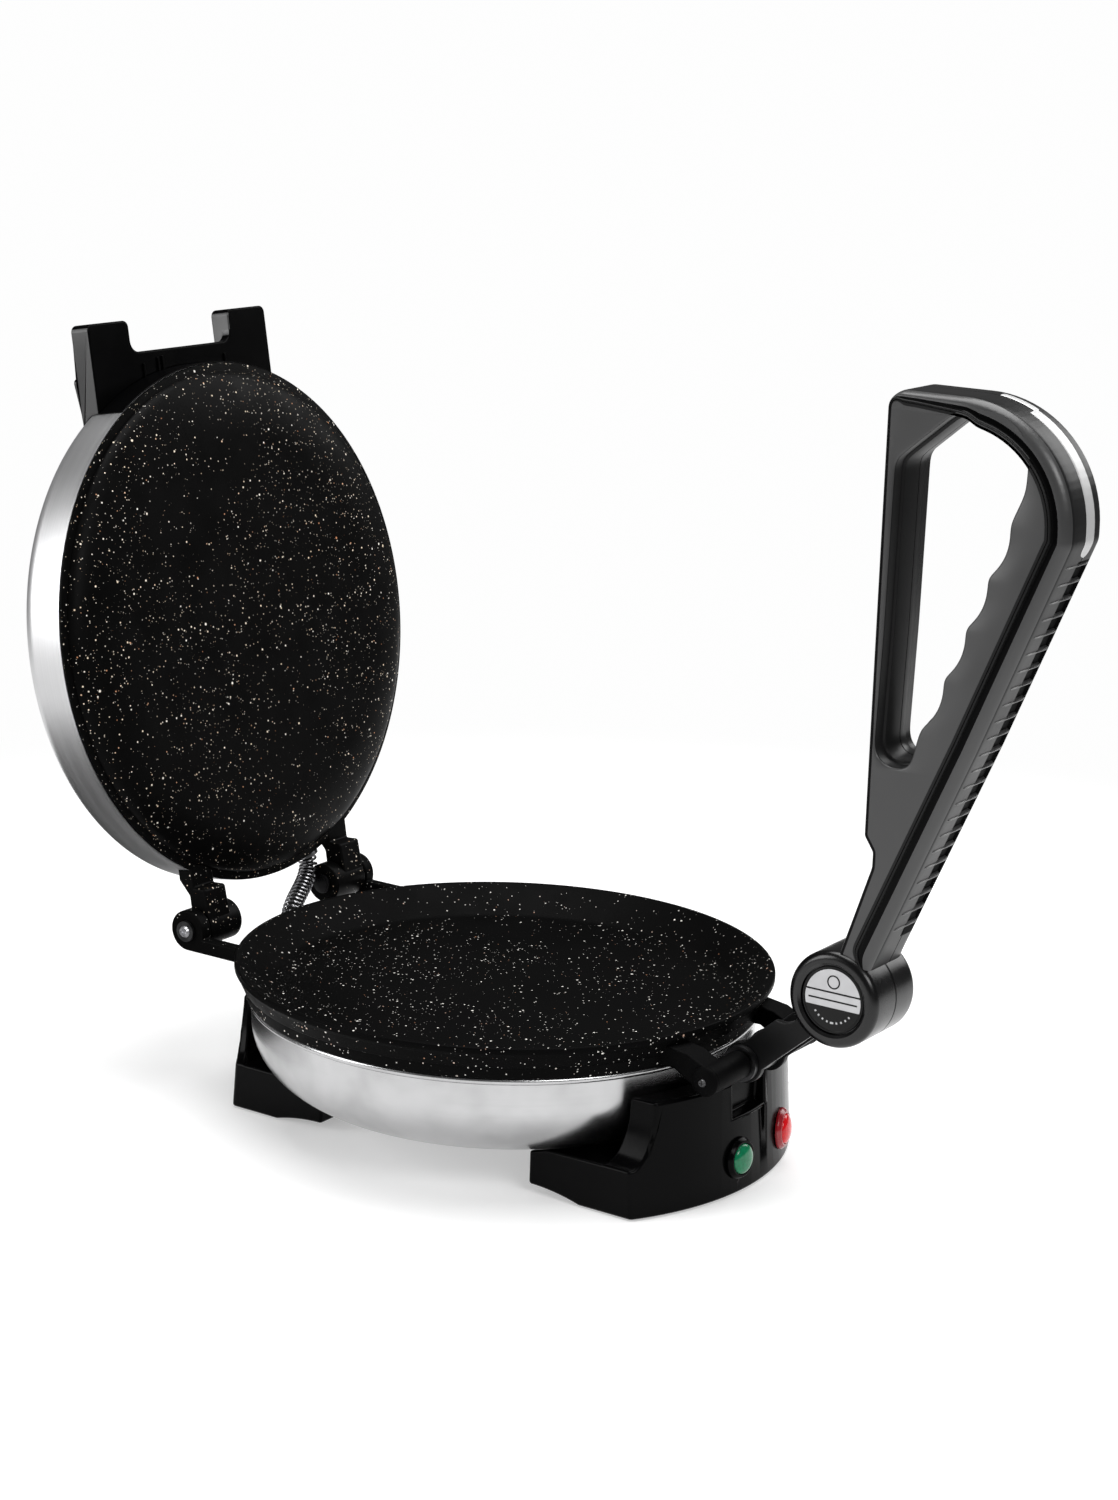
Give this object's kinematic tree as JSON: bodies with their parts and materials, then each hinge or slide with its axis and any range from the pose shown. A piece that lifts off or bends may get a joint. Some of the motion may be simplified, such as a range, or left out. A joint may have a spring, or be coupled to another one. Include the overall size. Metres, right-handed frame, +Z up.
{
  "type": "electric flatbread press",
  "caption": "Electric flatbread press with a black cooking dish, a steel lid hinged behind it and a looped lever in front that presses the lid down.",
  "frame": {"origin": "the middle of the overall bounding box, on the countertop, with the lid open and the lever back", "axes": "+Z up; +Y towards the rear hinge; +X to the right of someone who faces the lever from the front (-Y)"},
  "size_m": [0.232, 0.4522, 0.3374],
  "materials": {
    "cast_plate": "satin black non-stick with fine pale flecks",
    "steel_shell": "brushed",
    "bowl_steel": "polished",
    "foot_plastic": "glossy black",
    "handle_plastic": "satin black",
    "fork_metal": "satin black",
    "fittings": "zinc-plated",
    "rubber": "matt",
    "ceramic": "matt cream",
    "green_glow": "clear green",
    "red_glow": "clear red",
    "red_frame": "glossy red",
    "bright_trim": "bright",
    "badge": "glossy silver and black, plain",
    "sleeve": "bright wire"
  },
  "bodies": {
    "base": {"lower_plate": "cast_plate", "lower_heater": "fittings", "lower_shield": "fittings", "thermostat": "ceramic", "base_bowl": "bowl_steel", "bowl_bolt": "fittings", "terminal_block": "ceramic", "base_leads": "ceramic", "front_foot": "foot_plastic", "rear_foot": "foot_plastic", "front_pads": "rubber", "rear_pads": "rubber", "foot_screws": "fittings", "green_bezel": "foot_plastic", "green_lens": "green_glow", "red_bezel": "red_frame", "red_lens": "red_glow", "lamp_bodies": "ceramic", "cord_gland": "rubber", "hinge_pins": "fittings", "pivot_pin": "fittings", "pivot_bushes": "fittings", "sleeve_coil": "sleeve", "sleeve_cable": "rubber", "sleeve_socket": "fittings"},
    "lid": {"upper_plate": "cast_plate", "upper_heater": "fittings", "upper_shield": "fittings", "upper_shell": "steel_shell", "shell_bolt": "fittings", "lid_socket": "fittings", "press_fork": "fork_metal", "fork_screws": "fittings"},
    "lever": {"yoke": "fork_metal", "handle_left": "handle_plastic", "handle_right": "handle_plastic", "handle_trim": "bright_trim", "hub_cap_left": "badge", "hub_cap_right": "badge", "hub_bolt": "fittings", "handle_screws": "fittings"}
  },
  "joints": [
    {"name": "lid_hinge", "type": "hinge", "parent": "base", "child": "lid", "pos_m": [0, 0.15801, 0.0745], "axis": [1, 0, 0], "range_deg": [0, 99.7], "deforming": ["sleeve_coil", "sleeve_cable"]},
    {"name": "lever_pivot", "type": "hinge", "parent": "base", "child": "lever", "pos_m": [0, -0.09549, 0.0575], "axis": [-1, 0, 0], "range_deg": [0, 48.8]}
  ]
}
